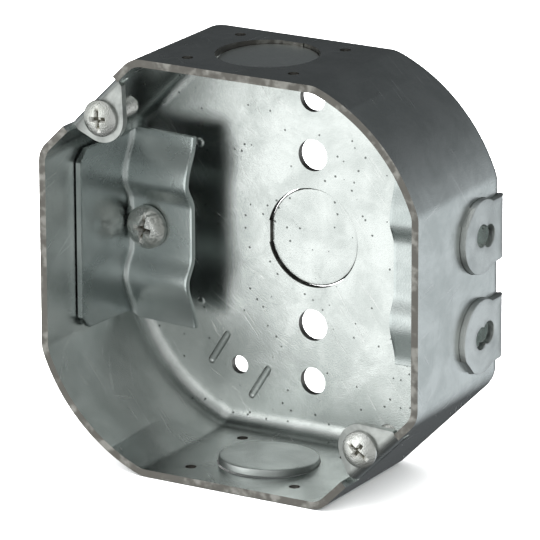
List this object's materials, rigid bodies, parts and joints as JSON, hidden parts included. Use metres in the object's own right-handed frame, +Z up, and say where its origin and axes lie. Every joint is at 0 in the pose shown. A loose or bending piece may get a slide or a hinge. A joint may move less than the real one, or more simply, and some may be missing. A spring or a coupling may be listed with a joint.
{
  "type": "electrical junction box",
  "caption": "Octagonal sheet-steel junction box with inside cable clamps, screw ears, round knockouts and pry-out cable slots.",
  "frame": {"origin": "centre of the outer back face, which sits against the ceiling or wall", "axes": "+X right, +Y into the depth so that the opening faces -Y, +Z up; the box stands on its bottom wall"},
  "size_m": [0.0948, 0.0389, 0.092],
  "materials": {
    "shell_steel": "galvanised sheet steel, satin, with fine drawing scratches and dark specks",
    "clamp_steel": "galvanised sheet steel, smooth and slightly brighter than the box",
    "slug_steel": "galvanised sheet steel, sheared edges bright",
    "screw_zinc": "bright zinc-plated steel with darker recesses"
  },
  "bodies": {
    "box": {"box_shell": "shell_steel"},
    "cover_screw_upper": {"cover_screw_upper": "screw_zinc"},
    "cover_screw_lower": {"cover_screw_lower": "screw_zinc"},
    "clamp_left": {"cable_clamp_left": "clamp_steel"},
    "clamp_right": {"cable_clamp_right": "clamp_steel"},
    "clamp_screw_left": {"clamp_screw_left": "screw_zinc"},
    "clamp_screw_right": {"clamp_screw_right": "screw_zinc"},
    "knockout_top": {"knockout_top": "slug_steel"},
    "knockout_bottom": {"knockout_bottom": "slug_steel"},
    "knockout_back": {"knockout_back": "slug_steel"},
    "pryout_left_upper": {"pryout_left_upper": "slug_steel"},
    "pryout_left_lower": {"pryout_left_lower": "slug_steel"},
    "pryout_right_upper": {"pryout_right_upper": "slug_steel"},
    "pryout_right_lower": {"pryout_right_lower": "slug_steel"}
  },
  "joints": [
    {"name": "cover_screw_upper_travel", "type": "slide", "parent": "box", "child": "cover_screw_upper", "axis": [0, -1, 0], "range_m": [0, 0.006]},
    {"name": "cover_screw_lower_travel", "type": "slide", "parent": "box", "child": "cover_screw_lower", "axis": [0, -1, 0], "range_m": [0, 0.006]},
    {"name": "clamp_left_press", "type": "slide", "parent": "box", "child": "clamp_left", "axis": [0, 1, 0], "range_m": [0, 0.00397]},
    {"name": "clamp_right_press", "type": "slide", "parent": "box", "child": "clamp_right", "axis": [0, 1, 0], "range_m": [0, 0.00397]},
    {"name": "clamp_screw_left_turn", "type": "hinge", "parent": "clamp_left", "child": "clamp_screw_left", "pos_m": [-0.0363, -0.01, 0], "axis": [0, 1, 0], "range_deg": [0, 1800]},
    {"name": "clamp_screw_right_turn", "type": "hinge", "parent": "clamp_right", "child": "clamp_screw_right", "pos_m": [0.0363, -0.01, 0], "axis": [0, 1, 0], "range_deg": [0, 1800]},
    {"name": "knockout_top_bend", "type": "hinge", "parent": "box", "child": "knockout_top", "pos_m": [0, -0.0098, 0.0444], "axis": [1, 0, 0], "range_deg": [0, 55]},
    {"name": "knockout_bottom_bend", "type": "hinge", "parent": "box", "child": "knockout_bottom", "pos_m": [0, -0.0098, -0.0444], "axis": [-1, 0, 0], "range_deg": [0, 55]},
    {"name": "knockout_back_bend", "type": "hinge", "parent": "box", "child": "knockout_back", "pos_m": [-0.0106, 0, 0.0006], "axis": [0, 0, 1], "range_deg": [0, 80]},
    {"name": "pryout_left_upper_bend", "type": "hinge", "parent": "box", "child": "pryout_left_upper", "pos_m": [-0.046, -0.01784, 0.01634], "axis": [0, 0.7071, 0.7071], "range_deg": [0, 80]},
    {"name": "pryout_left_lower_bend", "type": "hinge", "parent": "box", "child": "pryout_left_lower", "pos_m": [-0.046, -0.01784, -0.01634], "axis": [0, -0.7071, 0.7071], "range_deg": [0, 80]},
    {"name": "pryout_right_upper_bend", "type": "hinge", "parent": "box", "child": "pryout_right_upper", "pos_m": [0.046, -0.01784, 0.01634], "axis": [0, -0.7071, -0.7071], "range_deg": [0, 80]},
    {"name": "pryout_right_lower_bend", "type": "hinge", "parent": "box", "child": "pryout_right_lower", "pos_m": [0.046, -0.01784, -0.01634], "axis": [0, 0.7071, -0.7071], "range_deg": [0, 80]}
  ],
  "couplings": [
    {"joint": "clamp_screw_left_turn", "follows": "clamp_left_press", "rad_per_m": 7915.8},
    {"joint": "clamp_screw_right_turn", "follows": "clamp_right_press", "rad_per_m": 7915.8}
  ]
}
